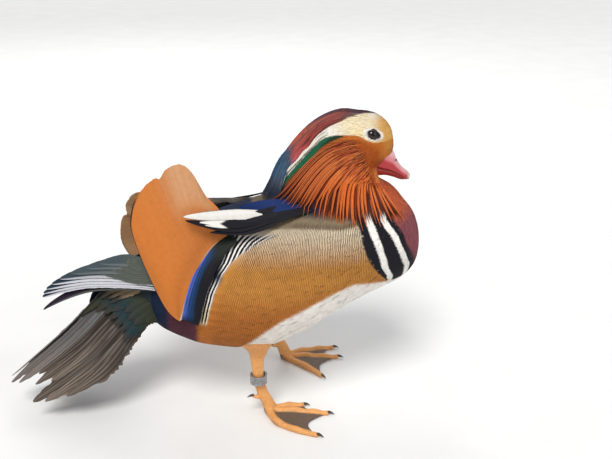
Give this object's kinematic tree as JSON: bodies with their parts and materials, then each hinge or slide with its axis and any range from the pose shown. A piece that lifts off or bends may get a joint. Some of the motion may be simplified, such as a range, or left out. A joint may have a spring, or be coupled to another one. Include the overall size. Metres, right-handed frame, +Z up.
{
  "type": "mandarin duck",
  "caption": "Standing mandarin drake with crest, orange hackles, raised sail feathers and a ringed leg, as a life-size still display model.",
  "frame": {"origin": "middle of the model's footprint box, on the floor under both feet", "axes": "+X towards the breast and bill, +Y to the bird's left, +Z up"},
  "size_m": [0.3028, 0.1384, 0.2152],
  "materials": {
    "body_plumage": "soft feathers, buff flanks, maroon breast and white belly",
    "neck_plumage": "soft feathers, rust orange",
    "head_plumage": "glossy crest feathers, cream brow stripe and orange hackles",
    "sail_feathers": "stiff orange vane with a dark rim",
    "wing_feathers": "slate vanes with blue gloss and white edges",
    "tail_feathers": "grey-brown vanes with a green gloss at the base",
    "bill": "smooth horn, satin",
    "eye": "wet gloss",
    "leg_skin": "scaled skin, satin",
    "claw": "dark horn, satin",
    "band": "dull worn metal"
  },
  "bodies": {
    "root": {"torso": "body_plumage", "neck": "neck_plumage", "head": "head_plumage", "bill_upper": "bill", "bill_lower": "bill", "eye_left": "eye", "eye_right": "eye", "wing_left": "wing_feathers", "wing_right": "wing_feathers", "sail_left": "sail_feathers", "sail_right": "sail_feathers", "tail": "tail_feathers", "leg_left": "leg_skin", "leg_right": "leg_skin", "foot_left": "leg_skin", "foot_right": "leg_skin", "claw_left_inner": "claw", "claw_left_middle": "claw", "claw_left_outer": "claw", "claw_left_hind": "claw", "claw_right_inner": "claw", "claw_right_middle": "claw", "claw_right_outer": "claw", "claw_right_hind": "claw", "leg_band": "band"}
  },
  "joints": []
}
